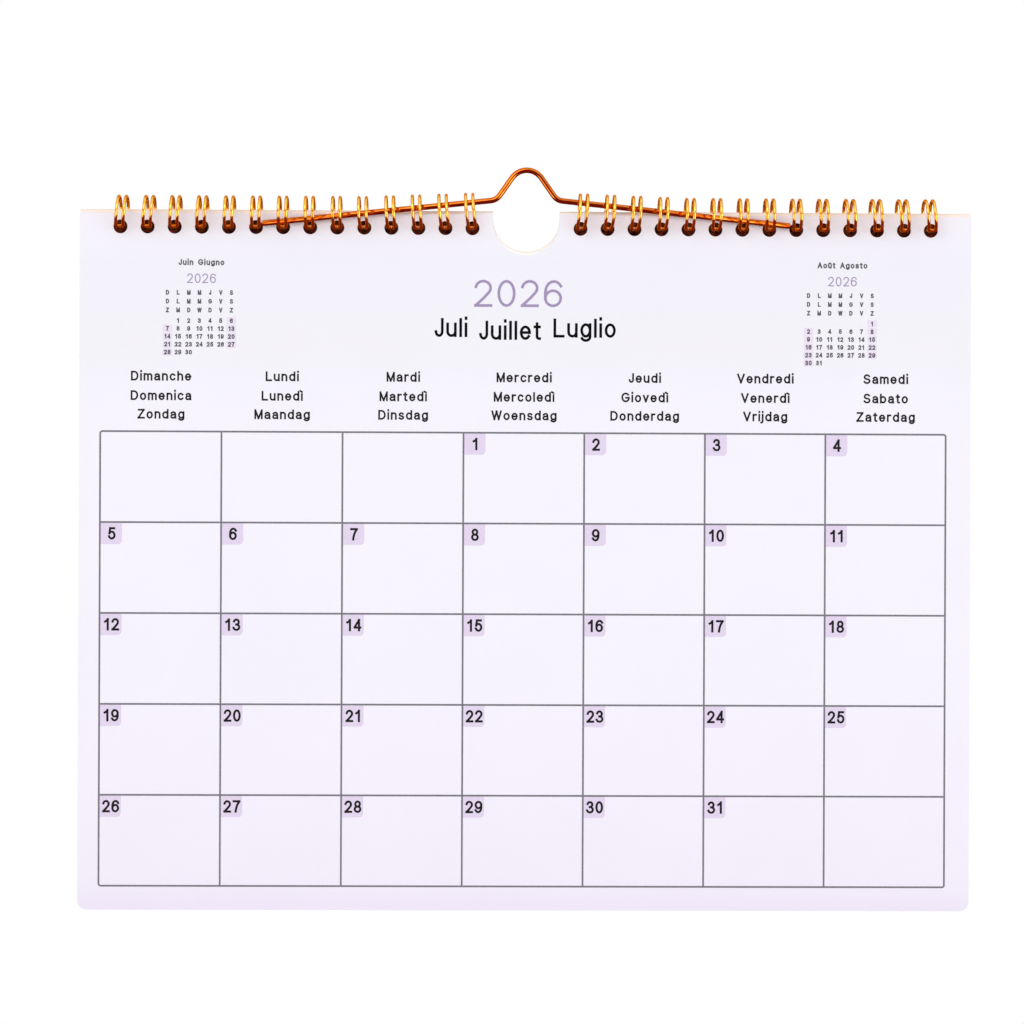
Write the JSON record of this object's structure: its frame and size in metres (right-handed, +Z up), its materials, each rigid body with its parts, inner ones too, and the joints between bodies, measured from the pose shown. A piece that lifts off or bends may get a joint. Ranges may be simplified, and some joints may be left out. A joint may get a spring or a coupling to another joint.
{
  "type": "wall calendar",
  "caption": "Wire-bound wall calendar: stacked leaves and a back board on twin-loop binding wires, with a thumb notch and a bent wire hanger that swings in the loops.",
  "frame": {"origin": "where a hook or nail carries the hanger, under the top of its hump", "axes": "+X along the binding, +Y to the back, +Z up; the printed side faces -Y"},
  "size_m": [0.2794, 0.0115, 0.2328],
  "materials": {
    "leaf_paper": "smooth matt paper, lavender white",
    "board_card": "plain cream card",
    "binding_metal": "bright gold-copper wire",
    "hanger_metal": "bright gold-copper wire"
  },
  "bodies": {
    "hanger": {"hanger": "hanger_metal"},
    "calendar": {"pages": "leaf_paper", "back_board": "board_card", "left_binding_wire": "binding_metal", "right_binding_wire": "binding_metal"}
  },
  "joints": [
    {"name": "hanger_swing", "type": "hinge", "parent": "hanger", "child": "calendar", "pos_m": [0, 0, -0.0124], "axis": [1, 0, 0], "range_deg": [0, 55]}
  ]
}
